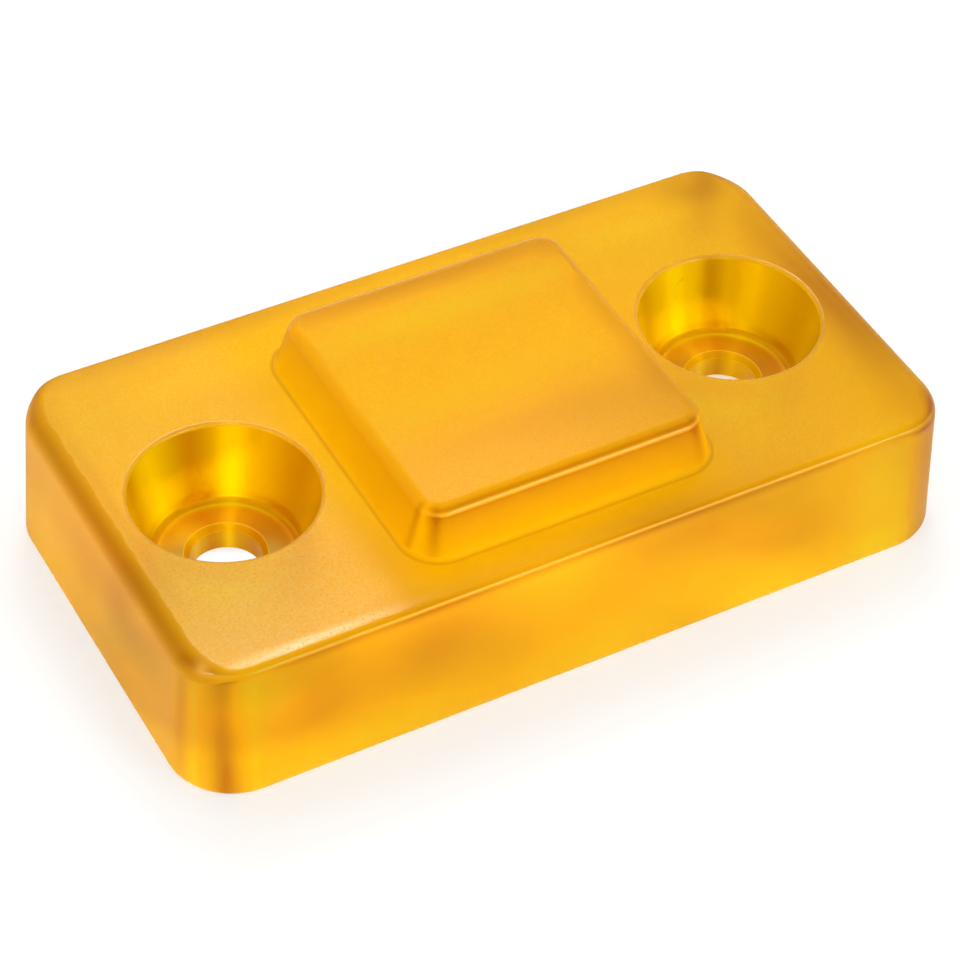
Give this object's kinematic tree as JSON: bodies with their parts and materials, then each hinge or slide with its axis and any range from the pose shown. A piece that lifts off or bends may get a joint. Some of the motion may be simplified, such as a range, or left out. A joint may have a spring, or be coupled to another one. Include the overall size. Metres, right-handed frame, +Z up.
{
  "type": "buffer block",
  "caption": "Translucent amber cast polyurethane buffer block: drafted rectangular base, raised square strike pad in the middle, and a counterbored screw hole beside it at either end.",
  "frame": {"origin": "middle of the seat face at the bottom of the base", "axes": "+X along the length, through both screw holes; +Y across the width; +Z up, out of the strike pad"},
  "size_m": [0.1, 0.055, 0.025],
  "materials": {
    "polyurethane": "translucent amber, satin, as cast"
  },
  "bodies": {
    "root": {"buffer_block": "polyurethane"}
  },
  "joints": []
}
